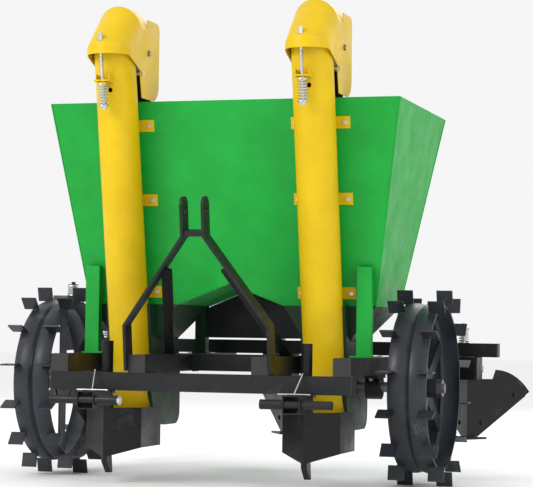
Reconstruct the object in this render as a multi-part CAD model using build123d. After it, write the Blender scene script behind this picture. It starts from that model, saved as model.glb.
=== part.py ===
from build123d import *
import math
import os

# Two-row potato planter for a three-point linkage. Millimetres, +Y to the rear, +Z up from the
# ground under the wheel lugs, and +X to the right for someone who faces the hitch. Names with
# left are on the -X side.
# The drawing frame has Y = 0 on the front face of the front toolbar. The last lines of the
# file move every node so that the origin is at the bottom centre of the whole machine.

# Driving sizes: rows and running gear
row_x = 350            # each row's centre from the machine's centre line
axle_y = 439
axle_z = 333           # also the outer radius of the wheel lugs
axle_r = 17.5
wheel_x = 667
rim_r = 288
rim_width = 131
rim_wall = 6
groove_depth = 10
groove_half = 9
rim_edge_drop = 8
hub_r = 32
hub_length = 90
disc_r = 72
spoke_count = 6
spoke_width = 50
spoke_thickness = 8
lug_pairs = 14
lug_length = 55        # along the wheel's axis
lug_height = 50
lug_thickness = 5
lug_tilt = 13
lug_first = 2
lug_offset = 68.5
bearing_r = 42
bearing_foot_z = 363
bearing_bolt_y = 46
running_gap = 0.05     # radial clearance of every shaft that turns or slides in a hole

# Frame
tube_side = 60
tube_wall = 4
bar_half = 521
bar_z = 315            # underside of the front toolbar
outer_beam_x = 491
inner_beam_x = 215
outer_beam_end = 660
inner_beam_end = 980
middle_bar_y = 482
side_bar_y = 600
rear_bar_side = 50
rear_bar_half = 825
rear_bar_y = 930

# Hitch
stub_x = 353
stub_front = -110
stub_rear = 45
pin_r = 14
pin_y = -91
pin_outer = 484
pin_inner = 245
pin_shoulder_r = 16
pin_shoulder_x = 386  # where the shoulder ends and the free pin begins
link_ball_r = 28       # room kept round the free pin for a category 2 ball
top_pin_r = 12.85
strap_width = 60
strap_thickness = 10
strap_foot_z = 385
mast_bend_z = 535
mast_neck_z = 828
mast_top_z = 957
mast_hole_z = 910
mast_neck_x = 37
mast_lean = 8
mast_y = 15

# Rows: drop tubes, elevator and boots
drop_r = 70
drop_wall = 3
drop_y = 261           # axis of the drop tube at drop_ref_z
drop_ref_z = 600
drop_lean = 10.95      # degrees, top forward
drop_bottom = 200
drop_top = 1454
roller_r = 80
roller_width = 100
roller_shaft_r = 10
belt_thickness = 5
belt_width = 90
cup_reach = 45
cup_width = 92
cup_pitch = 150
cup_height = 28
cup_bowl_r = 21
belt_gap = 0.4
roller_tube_gap = 16
peep_x = 4
peep_z = 1329
peep_r = 8
strap_heights = (652, 969, 1223)
strap_ear = 33
strap_height = 41
strap_sheet = 4
elevator_height = 1142
boot_half = 80
boot_wall = 3
boot_r = 150
boot_front_angle = 22
boot_corner = 45
feed_low = 490         # where each feed box meets its boot
feed_sheet = 3
rear_panel_low = 493
axle_hole_gap = 6

# Hopper
sheet = 3
hopper_bottom = 608
hopper_top = 1305
hopper_front_low = 332
hopper_front_high = 199
hopper_rear_low = 688
hopper_rear_high = 931
hopper_half_low = 520
hopper_half_high = 626
ridge_height = 73
ridge_half = 192
lip = 18

# Hood and belt tensioner
hood_r = 77.5
hood_sheet = 2.5
hood_front_y = 52.5    # axis of the collar's rounded front
hood_low = 1445
hood_top = 1625
collar_top = 1487
hinge_y = 153
hinge_z = 1397
hinge_r = 5
cheek_rear = 322
cheek_top = 1590
cheek_low = 1314
cheek_top_round = 28
cheek_low_round = 60
hood_roof_end = 200
tension_gap = 36       # rod's axis in front of the drop tube's wall
tension_rod_r = 5
tension_nut = 17
tension_side = 8       # the rod stands this far to the left of the tube's middle
tension_rod_top = 1516
tension_plate_z = 1352
tension_play = 5
tension_spring_r = 17
tension_spring_wire = 5
tension_spring_top = 1348
tension_spring_low = 1273

# Furrow openers
opener_half = 100
opener_nose = 50
opener_bend = 145
opener_end = 335
opener_top = 254
opener_side_low = 118
opener_nose_low = 85
opener_sheet = 4
share_tip_z = 34
shank_r = 15
sleeve_r = 19
sleeve_low = 300
sleeve_high = 480
shank_top = 470
shank_low = 130
share_half = 10

# Ridging bodies
ridger_x = 700
pivot_y = 990
pivot_z = 392
pivot_r = 8
trip_y = 950
trip_r = 6
trip_hole_gap = 4
trip_spring_r = 20
trip_spring_top = 538
bracket_half = 57
bracket_plate = 8
bracket_low = 352
wing_nose_y = 1024
wing_sweep = 35
wing_length = 330
wing_plate = 4
wing_low = 139
wing_high = 352
wing_tip_z = 302
wing_crest_z = 386

nodes = {}


def block(x0, x1, y0, y1, z0, z1):
    size = (x1 - x0, y1 - y0, z1 - z0)
    centre = ((x0 + x1) / 2, (y0 + y1) / 2, (z0 + z1) / 2)
    return Pos(*centre) * Box(*size)


def prism_x(points, x0, x1):
    return extrude(Plane.YZ.offset(x0) * make_face(Polyline(*points, close=True)), amount=x1 - x0)


def prism_y(points, y0, y1):
    plane = Plane(origin=(0, y0, 0), x_dir=(1, 0, 0), z_dir=(0, -1, 0))
    return extrude(plane * make_face(Polyline(*points, close=True)), amount=y0 - y1)


def prism_z(points, z0, z1):
    return extrude(Plane.XY.offset(z0) * make_face(Polyline(*points, close=True)), amount=z1 - z0)


def between(start, end):
    return Plane(origin=start, z_dir=Vector(*end) - Vector(*start))


def rod(start, end, radius):
    length = (Vector(*end) - Vector(*start)).length
    return between(start, end) * extrude(Circle(radius), amount=length)


def hexagon(start, end, across):
    length = (Vector(*end) - Vector(*start)).length
    return between(start, end) * extrude(RegularPolygon(across / 2, 6, major_radius=False), amount=length)


def square_tube(x0, x1, y0, y1, z0, z1, wall, along):
    inset = [wall, wall, wall]
    inset["XYZ".index(along)] = 0
    dx, dy, dz = inset
    inner = block(x0 + dx, x1 - dx, y0 + dy, y1 - dy, z0 + dz, z1 - dz)
    return block(x0, x1, y0, y1, z0, z1) - inner


def hexahedron(low, high):
    rings = [low, high] + [[low[k], low[(k + 1) % 4], high[(k + 1) % 4], high[k]] for k in range(4)]
    return Solid(Shell([Face(Wire.make_polygon(ring)) for ring in rings]))


def add(name, *shapes):
    solids = [solid for shape in shapes for solid in shape.solids()]
    nodes[name] = solids


def mirrored(shape):
    return mirror(shape, about=Plane.YZ)


def pair(shape):
    return [mirrored(shape), shape]


def drop_axis(z):
    return drop_y - (z - drop_ref_z) * math.tan(math.radians(drop_lean))


def wall_y(z):
    share = (z - hopper_bottom) / (hopper_top - hopper_bottom)
    return hopper_front_low + share * (hopper_front_high - hopper_front_low)


beam_z = bar_z + tube_side
beam_top = beam_z + tube_side
half_side = tube_side / 2
sides = {"left": -1, "right": 1}
row_places = {side: way * row_x for side, way in sides.items()}
ridger_places = {"left": -ridger_x, "center": 0, "right": ridger_x}


# Frame of square tube
def frame():
    add("front_toolbar", square_tube(-bar_half, bar_half, 0, tube_side, bar_z, beam_z, tube_wall, "X"))
    outer = square_tube(outer_beam_x - half_side, outer_beam_x + half_side, 0, outer_beam_end,
                        beam_z, beam_top, tube_wall, "Y")
    add("outer_beams", *pair(outer))
    inner = square_tube(inner_beam_x - half_side, inner_beam_x + half_side, 0, inner_beam_end,
                        beam_z, beam_top, tube_wall, "Y")
    add("inner_beams", *pair(inner))
    inner_face = inner_beam_x - half_side
    middle = square_tube(-inner_face, inner_face, middle_bar_y, middle_bar_y + tube_side,
                         beam_z, beam_top, tube_wall, "X")
    side = square_tube(inner_beam_x + half_side, outer_beam_x - half_side, side_bar_y,
                       side_bar_y + tube_side, beam_z, beam_top, tube_wall, "X")
    add("crossbars", middle, *pair(side))
    rear_top = beam_top + rear_bar_side
    rear = square_tube(-rear_bar_half, rear_bar_half, rear_bar_y, rear_bar_y + rear_bar_side,
                       beam_top, rear_top, tube_wall, "X")
    for x in ridger_places.values():
        rear -= rod((x, trip_y, beam_top - 1), (x, trip_y, rear_top + 1), trip_r + trip_hole_gap)
    add("rear_toolbar", rear)
    plate = 3
    caps = [block(bar_half, bar_half + plate, 0, tube_side, bar_z, beam_z),
            block(rear_bar_half, rear_bar_half + plate, rear_bar_y, rear_bar_y + rear_bar_side,
                  beam_top, rear_top)]
    for x, end in ((outer_beam_x, outer_beam_end), (inner_beam_x, inner_beam_end)):
        caps.append(block(x - half_side, x + half_side, -plate, 0, beam_z, beam_top))
        caps.append(block(x - half_side, x + half_side, end, end + plate, beam_z, beam_top))
    add("end_caps", *[piece for cap in caps for piece in pair(cap)])


# Lower linkage stubs with cross pins, and the mast for the top link
def hitch():
    stub_top = bar_z
    stub_low = bar_z - tube_side
    pin_z = (stub_top + stub_low) / 2
    stub = square_tube(stub_x - half_side, stub_x + half_side, stub_front, stub_rear,
                       stub_low, stub_top, tube_wall, "Y")
    shoulder = rod((pin_inner, pin_y, pin_z), (pin_shoulder_x, pin_y, pin_z), pin_shoulder_r)
    pin = rod((pin_shoulder_x, pin_y, pin_z), (pin_outer, pin_y, pin_z), pin_r)
    add("hitch_stubs", *pair(stub - shoulder))
    add("hitch_pins", *pair(shoulder + pin))
    wire_r = 2.5
    wire_z = stub_top + wire_r
    wire_y = -60
    bar = rod((stub_x - 60, wire_y, wire_z), (stub_x + 50, wire_y, wire_z), wire_r)
    leg = rod((stub_x - 5, wire_y, wire_z), (stub_x + 8, -2 - wire_r, beam_z + 8), wire_r)
    add("lynch_pins", *pair(bar + leg))


def mast():
    lean = Plane(origin=(0, mast_y, strap_foot_z), x_dir=(1, 0, 0),
                 z_dir=(0, -math.sin(math.radians(mast_lean)), math.cos(math.radians(mast_lean))))
    foot_x = inner_beam_x + half_side
    t = strap_thickness
    scale = 1 / math.cos(math.radians(mast_lean))
    bend, neck, top, hole = [(z - strap_foot_z) * scale
                             for z in (mast_bend_z, mast_neck_z, mast_top_z, mast_hole_z)]
    line = [(foot_x + t / 2, 0), (foot_x + t / 2, bend), (mast_neck_x, neck), (mast_neck_x, top)]
    slope = math.atan2(line[1][0] - line[2][0], neck - bend)
    k = t / 2 * math.tan(slope / 2)
    outer = [(line[0][0] + t / 2, 0), (line[1][0] + t / 2, bend + k), (line[2][0] + t / 2, neck + k),
             (line[3][0] + t / 2, top)]
    inner = [(line[3][0] - t / 2, top), (line[2][0] - t / 2, neck - k), (line[1][0] - t / 2, bend - k),
             (line[0][0] - t / 2, 0)]
    strap = prism_y(outer + inner, -strap_width / 2, strap_width / 2)
    half = strap_width / 2
    outline = block(0, 2 * foot_x, -half, half, -1, top - half)
    outline += rod((0, 0, top - half), (2 * foot_x, 0, top - half), half)
    strap = (strap & outline) - rod((0, 0, hole), (2 * foot_x, 0, hole), top_pin_r)
    straps = [lean * piece for piece in pair(strap)]
    add("mast_straps", *straps)
    inside = mast_neck_x - t / 2
    crossbar = lean * block(-inside, inside, -25, 25, neck, neck + 20)
    start = Vector(103, mast_y - 0.1405 * (721 - strap_foot_z), 721)
    end = Vector(inner_beam_x, 327, beam_top - 8)
    plane = Plane(origin=start, z_dir=end - start, x_dir=(0.9, -0.1, 0.3))
    brace = plane * extrude(Rectangle(36, 10), amount=(end - start).length)
    brace -= block(inner_beam_x - 60, inner_beam_x + 60, 0, 600, beam_z, beam_top)
    brace -= straps[1]
    best = max(brace.solids(), key=lambda solid: solid.volume)
    add("mast_braces", *pair(best), crossbar)


def elevator_axes():
    drop = elevator_height * math.tan(math.radians(drop_lean))
    return (axle_y, axle_z), (axle_y - drop, axle_z + elevator_height)


def drop_line(x, shift=0):
    return Vector(x, drop_axis(0) + shift, 0), Vector(x, drop_axis(2000) + shift, 2000)


def loop_prism(x, radius, half_width):
    low, high = elevator_axes()
    slot = SlotCenterToCenter(math.dist(low, high), 2 * radius)
    middle = ((low[0] + high[0]) / 2, (low[1] + high[1]) / 2)
    profile = Pos(*middle) * Rot(0, 0, 90 + drop_lean) * slot
    return extrude(Plane.YZ.offset(x - half_width) * profile, amount=2 * half_width)


# Drop tube: a lean round tube, open at the back below the hopper and round the top roller
def drop_tube(side):
    x = row_places[side]
    low, high = elevator_axes()
    cut = block(x - 2 * drop_r, x + 2 * drop_r, -200, 700, drop_bottom, drop_top)
    tube = (rod(*drop_line(x), drop_r) - rod(*drop_line(x), drop_r - drop_wall)) & cut
    back = [(drop_axis(z) + reach, z) for z, reach in ((0, 2), (hopper_bottom, 2), (hopper_bottom, 300), (0, 300))]
    tube -= prism_x(back, x - 2 * drop_r, x + 2 * drop_r)
    tube -= rod((x - 2 * drop_r, *high), (x + 2 * drop_r, *high), roller_r + roller_tube_gap)
    peep_y = drop_axis(peep_z)
    tube -= rod((x + peep_x, peep_y - 2 * drop_r, peep_z), (x + peep_x, peep_y, peep_z), peep_r)
    add(f"drop_tube_{side}", tube)


# Boot: housing round the drive roller, open to the drop tube and to the feed box above it
def boot_rear_y(z, inset):
    lean = math.radians(drop_lean)
    radius = boot_r - inset
    return axle_y + radius * math.cos(lean) - (z - axle_z - radius * math.sin(lean)) * math.tan(lean)


def boot_prism(x, inset):
    radius = boot_r - inset
    half = boot_half - inset
    start = math.radians(180 - boot_front_angle)
    bend_z = axle_z + radius * math.sin(math.radians(drop_lean))
    front_top = (drop_axis(hopper_bottom) + inset, hopper_bottom)
    front_low = (axle_y + radius * math.cos(start), axle_z + radius * math.sin(start))
    middle = math.radians(225)
    arc = ThreePointArc(front_low, (axle_y + radius * math.cos(middle), axle_z + radius * math.sin(middle)),
                        (axle_y, axle_z - radius))
    corner = (boot_rear_y(bend_z, inset), axle_z - radius)
    lines = Polyline((axle_y, axle_z - radius), corner, (corner[0], bend_z),
                     (boot_rear_y(hopper_bottom, inset), hopper_bottom), front_top, front_low)
    face = make_face([arc, lines])
    face = fillet([v for v in face.vertices() if math.hypot(v.X - corner[0], v.Y - corner[1]) < 1],
                  boot_corner - inset)
    return extrude(Plane.YZ.offset(x - half) * face, amount=2 * half)


def boot(side):
    x = row_places[side]
    reach = 2 * boot_half
    shell = boot_prism(x, 0) - boot_prism(x, boot_wall)
    shell -= rod(*drop_line(x), drop_r) & block(x - reach, x + reach, -200, 700, drop_bottom, drop_top)
    shell -= rod(*drop_line(x), drop_r - drop_wall) & block(x - reach, x + reach, -200, 700, 0, drop_top)
    shell -= rod((x - reach, axle_y, axle_z), (x + reach, axle_y, axle_z), axle_r + axle_hole_gap)
    shell -= block(x - reach, x + reach, hopper_front_low, 900, feed_low, hopper_bottom + 1)
    add(f"boot_{side}", max(shell.solids(), key=lambda solid: solid.volume))


# Feed box: funnel from one side of the hopper's bottom down to the boot's mouth
def feed_form(way, inset):
    def ring(near, far, rear, z):
        left, right = sorted((way * near, way * far))
        front = hopper_front_low + inset
        return [(left, front, z), (right, front, z), (right, rear, z), (left, rear, z)]

    low = ring(row_x - boot_half + inset, row_x + boot_half - inset,
               boot_rear_y(feed_low, 0) - inset, feed_low)
    high = ring(ridge_half + inset, hopper_half_low - inset, hopper_rear_low - inset, hopper_bottom)
    return hexahedron(low, high)


def feed_boxes():
    add("feed_boxes", *[feed_form(way, 0) - feed_form(way, feed_sheet) for way in sides.values()])


# Endless belt with cups that open upwards on the rear run
def cup_belt(side):
    x = row_places[side]
    low, high = elevator_axes()
    inner_r = roller_r + belt_gap
    outer_r = inner_r + belt_thickness
    belt = loop_prism(x, outer_r, belt_width / 2) - loop_prism(x, inner_r, belt_width)
    cup = block(-cup_width / 2, cup_width / 2, 0, cup_reach, -cup_height / 2, cup_height / 2)
    cup -= Pos(0, cup_reach / 2 + 1, cup_height / 2 + 4) * Sphere(cup_bowl_r)
    tilt = math.radians(drop_lean)
    straight = math.dist(low, high)
    count = int(straight // cup_pitch)
    root = outer_r - 0.5
    for face, turn in ((1, 0), (-1, 180)):
        for i in range(count):
            s = (i + 0.5) * straight / count
            y = low[0] - math.sin(tilt) * s + face * math.cos(tilt) * root
            z = low[1] + math.cos(tilt) * s + face * math.sin(tilt) * root
            belt += Pos(x, y, z) * Rot(drop_lean + turn, 0, 0) * cup
    add(f"cup_belt_{side}", belt)


def rollers():
    low, high = elevator_axes()
    half = roller_width / 2
    reach = hood_r + 6
    drives = []
    for side, x in row_places.items():
        top = rod((x - half, *high), (x + half, *high), roller_r)
        top += rod((x - reach, *high), (x + reach, *high), roller_shaft_r)
        add(f"top_roller_{side}", top)
        drive = rod((x - half, *low), (x + half, *low), roller_r)
        drives.append(drive - rod((x - half, *low), (x + half, *low), axle_r))
    add("drive_rollers", *drives)


# Hood: rounded collar, slanted arch and level arch over two flat cheeks. It tips on two pins,
# carries the top roller, and a sprung rod pulls its front down to keep the belt tight.
def hood_form(x, inset):
    r = hood_r - inset
    far = 400
    skirt = Rectangle(2 * r, far)
    plan = Pos(x, hood_front_y) * Circle(r) + Pos(x, hood_front_y + far / 2) * skirt
    upright = extrude(Plane.XY.offset(hood_low - far) * plan, amount=2 * far)
    slant = Plane(origin=(x, hood_front_y - hood_r, collar_top), x_dir=(1, 0, 0), z_dir=(0, 1, 1))
    arch = Pos(0, hood_r) * Circle(r) + Pos(0, hood_r + far / 2) * skirt
    slanted = extrude(slant * arch, amount=far, both=True)
    level = Plane(origin=(x, 0, hood_top - hood_r), x_dir=(1, 0, 0), z_dir=(0, -1, 0))
    flat_arch = Circle(r) + Pos(0, -far / 2) * skirt
    lying = extrude(level * flat_arch, amount=far, both=True)
    before = block(x - far, x + far, -far, hood_roof_end, hood_low - far, hood_top + far)
    after = block(x - r, x + r, hood_roof_end, far, hood_low - far, hood_top + far)
    return (upright & slanted & lying & before) + after


def hood(side):
    x = row_places[side]
    low, high = elevator_axes()
    front = hood_front_y - hood_r
    outline = [(front - 5, hood_low), (front - 5, hood_top + 5), (hood_roof_end - 3, hood_top + 5),
               (hood_roof_end, cheek_top), (cheek_rear, cheek_top), (cheek_rear, cheek_low),
               (hinge_y + 7, cheek_low), (hinge_y - 12, hinge_z - 12), (hinge_y - 12, hinge_z + 8),
               (hood_front_y - 20, hood_low)]
    face = make_face(Polyline(*outline, close=True))
    face = fillet([v for v in face.vertices() if v.X > cheek_rear - 1 and v.Y > hinge_z], cheek_top_round)
    face = fillet([v for v in face.vertices() if v.X > cheek_rear - 1 and v.Y < hinge_z], cheek_low_round)
    reach = 2 * hood_r
    shell = hood_form(x, 0) - hood_form(x, hood_sheet)
    shell &= extrude(Plane.YZ.offset(x - reach) * face, amount=2 * reach)
    shell -= rod((x - reach, hinge_y, hinge_z), (x + reach, hinge_y, hinge_z), hinge_r + running_gap)
    shell -= rod((x - reach, *high), (x + reach, *high), roller_shaft_r + running_gap)
    ahead = -drop_r / math.cos(math.radians(drop_lean)) - tension_gap

    def on_rod(z):
        return Vector(x - tension_side, drop_axis(z) + ahead, z)

    shell -= rod(on_rod(tension_spring_low), on_rod(tension_rod_top), tension_rod_r)
    add(f"hood_{side}", max(shell.solids(), key=lambda solid: solid.volume))
    tie = rod(on_rod(tension_spring_low - 13), on_rod(tension_rod_top), tension_rod_r)
    tie += rod(on_rod(tension_spring_low - 3), on_rod(tension_spring_low), tension_spring_r + 1)
    tie += hexagon(on_rod(tension_spring_low - 11), on_rod(tension_spring_low - 3), tension_nut)
    nut = hexagon(on_rod(tension_rod_top - 26), on_rod(tension_rod_top - 6), tension_nut) - hood_form(x, 0)
    tie += max(nut.solids(), key=lambda solid: solid.center().Z)
    add(f"tension_rod_{side}", tie)
    spring = rod(on_rod(tension_spring_low), on_rod(tension_spring_top), tension_spring_r)
    spring -= rod(on_rod(tension_spring_low), on_rod(tension_spring_top), tension_spring_r - tension_spring_wire)
    plate_top = tension_plate_z + 5
    y = on_rod(plate_top).Y
    rod_x = x - tension_side
    holder = block(rod_x - 25, rod_x + 25, y - 20, drop_axis(plate_top), tension_plate_z, plate_top)
    holder += block(rod_x - 25, rod_x - 22, y - 2, drop_axis(plate_top), plate_top, plate_top + 20)
    holder += block(rod_x + 22, rod_x + 25, y - 2, drop_axis(plate_top), plate_top, plate_top + 20)
    holder -= rod(*drop_line(x), drop_r)
    holder -= rod(on_rod(tension_plate_z - 20), on_rod(plate_top + 20), tension_rod_r + tension_play)
    washer = rod(on_rod(tension_spring_top), on_rod(tension_plate_z - 0.5), tension_spring_r + 1)
    washer -= rod(on_rod(tension_spring_top), on_rod(tension_plate_z), tension_rod_r + tension_play)
    return spring, [max(holder.solids(), key=lambda solid: solid.volume)], washer


def hood_pins():
    pins = []
    for x in row_places.values():
        for way in (-1, 1):
            shoulder = rod((x, hinge_y, hinge_z), (x + way * (hood_r - hood_sheet - 0.5), hinge_y, hinge_z), 9)
            pin = shoulder + rod((x, hinge_y, hinge_z), (x + way * (hood_r + 8), hinge_y, hinge_z), hinge_r)
            pin += rod((x + way * (hood_r + 1), hinge_y, hinge_z),
                       (x + way * (hood_r + 4), hinge_y, hinge_z), 9)
            pin -= rod(*drop_line(x), drop_r)
            pins.append(max(pin.solids(), key=lambda solid: solid.center().X * way))
    return pins


# Hopper: four leaning sheet walls with a folded-in lip, and a floor with a roof-shaped ridge
def hopper():
    def ring(inset, z):
        t = (z - hopper_bottom) / (hopper_top - hopper_bottom)
        half = hopper_half_low + t * (hopper_half_high - hopper_half_low) - inset
        front = wall_y(z) + inset
        rear = hopper_rear_low + t * (hopper_rear_high - hopper_rear_low) - inset
        return [(-half, front, z), (half, front, z), (half, rear, z), (-half, rear, z)]

    ridge = [(-ridge_half, hopper_bottom - 1), (0, hopper_bottom + ridge_height), (ridge_half, hopper_bottom - 1)]
    walls = []
    for i in range(4):
        j = (i + 1) % 4
        low = [ring(0, hopper_bottom)[i], ring(0, hopper_bottom)[j],
               ring(sheet, hopper_bottom)[j], ring(sheet, hopper_bottom)[i]]
        high = [ring(0, hopper_top)[i], ring(0, hopper_top)[j],
                ring(sheet, hopper_top)[j], ring(sheet, hopper_top)[i]]
        wall = hexahedron(low, high)
        outer = ring(sheet, hopper_top)
        inner = ring(sheet + lip, hopper_top)
        flange = extrude(make_face(Polyline(outer[i], outer[j], inner[j], inner[i], close=True)),
                         amount=sheet, dir=(0, 0, -1))
        wall += flange
        if i in (0, 2):
            wall -= prism_y(ridge, 0, 1000)
        if i == 0:
            for bolt in strap_bolts():
                wall -= bolt
        walls.append(max(wall.solids(), key=lambda solid: solid.volume))
    front, right, rear, left = walls
    add("hopper_front", front)
    add("hopper_rear", rear)
    add("hopper_sides", left, right)
    over = [(-ridge_half, hopper_bottom), (0, hopper_bottom + ridge_height), (ridge_half, hopper_bottom)]
    floor = prism_y(over + [(px, pz + sheet) for px, pz in reversed(over)], hopper_front_low + sheet + 1,
                    hopper_rear_low - sheet - 1)
    add("hopper_floor", floor)


def posts():
    front_top = 740
    front_y = wall_y(front_top)
    front = square_tube(outer_beam_x - 25, outer_beam_x + 25, front_y - 30, front_y,
                        beam_top + 5, front_top, 3, "Z")
    front += block(outer_beam_x - 45, outer_beam_x + 30, front_y - 45, front_y + 20, beam_top, beam_top + 5)
    add("hopper_posts", *pair(front))
    foot = 29
    back = hopper_rear_low - feed_sheet
    rear = square_tube(inner_beam_x - 20, inner_beam_x + 20, back - 40, back, beam_top + 5,
                       hopper_bottom - 4, 3, "Z")
    rear += block(inner_beam_x - foot, inner_beam_x + foot, back - 49, back + 2, beam_top, beam_top + 5)
    rear -= feed_form(1, 0)
    add("rear_posts", *pair(max(rear.solids(), key=lambda solid: solid.volume)))
    top = hopper_bottom - 2
    side = inner_beam_x + 20
    shoulder = feed_low + 70
    outline = [(-side, rear_panel_low), (side, rear_panel_low), (side, shoulder), (ridge_half - 1, top),
               (0, top + ridge_height), (1 - ridge_half, top), (-side, shoulder)]
    add("rear_panel", prism_y(outline, back, hopper_rear_low))


# Straps that hold each drop tube against the hopper's front wall
def strap_planes():
    for x in row_places.values():
        for z in strap_heights:
            lean = math.atan2(hopper_front_low - hopper_front_high, hopper_top - hopper_bottom)
            yield x, Plane(origin=(x, wall_y(z), z), x_dir=(1, 0, 0), z_dir=(0, -math.cos(lean), -math.sin(lean)))


def strap_bolts():
    reach = drop_r + strap_ear / 2
    for x, plane in strap_planes():
        for way in (-1, 1):
            yield plane * Pos(way * reach, 0, -14) * extrude(Circle(4), amount=30)


def straps():
    pieces = []
    for x, plane in strap_planes():
        half = drop_r + strap_ear
        strap = plane * extrude(Rectangle(2 * half, strap_height), amount=strap_sheet)
        strap -= rod(*drop_line(x), drop_r)
        pieces += strap.solids()
    for bolt in strap_bolts():
        pieces = [piece - bolt for piece in pieces]
    add("tube_straps", *pieces)


def fasteners():
    pieces = []
    reach = drop_r + strap_ear / 2
    for x, plane in strap_planes():
        for way in (-1, 1):
            bolt = Pos(0, 0, -12) * extrude(Circle(4), amount=28)
            bolt += Pos(0, 0, strap_sheet) * extrude(Circle(8), amount=1.5)
            bolt += Pos(0, 0, strap_sheet + 1.5) * extrude(RegularPolygon(6.5, 6, major_radius=False), amount=5.5)
            bolt += Pos(0, 0, -sheet * 1.1 - 7) * extrude(RegularPolygon(6.5, 6, major_radius=False), amount=7)
            pieces.append(plane * Pos(way * reach, 0, 0) * bolt)
    pin_z = bar_z - half_side
    pieces.append(hexagon((-pin_inner + 10, pin_y, pin_z), (-pin_inner, pin_y, pin_z), 24))
    bolt_y = pin_y + link_ball_r + 17
    pieces.append(hexagon((stub_x + half_side, bolt_y, pin_z), (stub_x + half_side + 8, bolt_y, pin_z), 16))
    for x in (-outer_beam_x, outer_beam_x):
        for y in (axle_y - bearing_bolt_y, axle_y + bearing_bolt_y):
            pieces.append(hexagon((x, y, bearing_foot_z), (x, y, bearing_foot_z - 8), 17))
    for x in row_places.values():
        z = sleeve_low + 12
        for way in (-1, 1):
            pieces.append(hexagon((x + way * sleeve_r, tube_side + sleeve_r, z),
                                  (x + way * (sleeve_r + 12), tube_side + sleeve_r, z), 13))
    add("fasteners", *pieces, *hood_pins())


# Vertical sleeves welded behind the front toolbar, and the openers that slide in them
def sleeves():
    y = tube_side + sleeve_r
    pieces = []
    for x in row_places.values():
        sleeve = rod((x, y, sleeve_low), (x, y, sleeve_high), sleeve_r)
        pieces.append(sleeve - rod((x, y, sleeve_low), (x, y, sleeve_high), shank_r + running_gap))
    add("opener_sleeves", *pieces)


def opener(side):
    x = row_places[side]
    y = tube_side + sleeve_r
    slope = math.hypot(opener_half, opener_bend - opener_nose)
    nose_in = opener_sheet * slope / opener_half
    half_in = opener_half - opener_sheet
    bend_in = opener_nose + nose_in + half_in * (opener_bend - opener_nose) / opener_half
    outer = [(x, opener_nose), (x + opener_half, opener_bend), (x + opener_half, opener_end),
             (x - opener_half, opener_end), (x - opener_half, opener_bend)]
    inner = [(x, opener_nose + nose_in), (x + half_in, bend_in), (x + half_in, opener_end + 1),
             (x - half_in, opener_end + 1), (x - half_in, bend_in)]
    body = prism_z(outer, 0, opener_top) - prism_z(inner, 0, opener_top)
    web_z = opener_top - 20
    web = prism_z([(x, opener_nose + nose_in), (x + half_in, bend_in), (x - half_in, bend_in)],
                  web_z, web_z + 8)
    side_view = [(opener_nose - 5, opener_top), (opener_nose - 5, opener_nose_low),
                 (opener_bend, opener_side_low), (opener_end + 5, opener_side_low),
                 (opener_end + 5, opener_top)]
    body &= prism_x(side_view, x - 2 * opener_half, x + 2 * opener_half)
    shank = rod((x, y, shank_low), (x, y, shank_top), shank_r)
    body += (web - rod((x, y, 0), (x, y, shank_top), shank_r)) + shank
    tooth = [(opener_nose, opener_nose_low + 60), (opener_nose, opener_nose_low), (y + 20, share_tip_z),
             (y + 36, share_tip_z), (y + 20, opener_side_low + 20)]
    body += prism_x(tooth, x - share_half, x + share_half) & prism_z(outer, 0, opener_top)
    add(f"opener_{side}", max(body.solids(), key=lambda solid: solid.volume))


# Axle, wheels and bearings
def running_gear():
    end = wheel_x + hub_length / 2
    axle = rod((-end - 25, axle_y, axle_z), (end + 25, axle_y, axle_z), axle_r)
    for way in (-1, 1):
        axle += hexagon((way * end, axle_y, axle_z), (way * (end + 18), axle_y, axle_z), 55)
    add("axle", axle)
    half = rim_width / 2
    edge_r = rim_r - rim_edge_drop

    def band(drop):
        crest = (half + groove_half) / 2
        lip_r = rim_r - 2 - drop
        return [ThreePointArc((-half, edge_r - drop), (-crest, rim_r - drop), (-groove_half, lip_r)),
                Line((-groove_half, lip_r), (0, rim_r - groove_depth - drop)),
                Line((0, rim_r - groove_depth - drop), (groove_half, lip_r)),
                ThreePointArc((groove_half, lip_r), (crest, rim_r - drop), (half, edge_r - drop))]

    rim_lines = band(0) + band(rim_wall)
    for x in (-half, half):
        rim_lines.append(Line((x, edge_r), (x, edge_r - rim_wall)))
    rim = revolve(make_face(rim_lines), axis=Axis.X)
    disc = rod((-5, 0, 0), (5, 0, 0), disc_r) + rod((-hub_length / 2, 0, 0), (hub_length / 2, 0, 0), hub_r)
    for i in range(spoke_count):
        spoke = block(-spoke_thickness / 2, spoke_thickness / 2, -spoke_width / 2, spoke_width / 2,
                      disc_r - 15, edge_r)
        disc += Rot(360 * i / spoke_count, 0, 0) * spoke
    disc -= rod((-100, 0, 0), (100, 0, 0), axle_r)
    disc -= rim
    disc = max(disc.solids(), key=lambda solid: solid.volume)
    plate = block(-lug_length / 2, lug_length / 2, -lug_thickness / 2, lug_thickness / 2,
                  -lug_height / 2, lug_height / 2)
    radius = axle_z - lug_height / 2 * math.cos(math.radians(lug_tilt)) - 0.6
    lugs = []
    for way in (-1, 1):
        lug = Pos(way * lug_offset, 0, radius) * Rot(lug_tilt, 0, 0) * plate - rim
        lug = max(lug.solids(), key=lambda solid: solid.volume)
        for i in range(lug_pairs):
            lugs.append(Rot(lug_first + 360 * i / lug_pairs, 0, 0) * lug)
    for side, way in sides.items():
        place = Pos(way * wheel_x, axle_y, axle_z)
        add(f"wheel_rim_{side}", place * rim)
        add(f"wheel_disc_{side}", place * disc)
    places = [Pos(way * wheel_x, axle_y, axle_z) for way in sides.values()]
    add("wheel_lugs", *[place * lug for place in places for lug in lugs])


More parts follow.
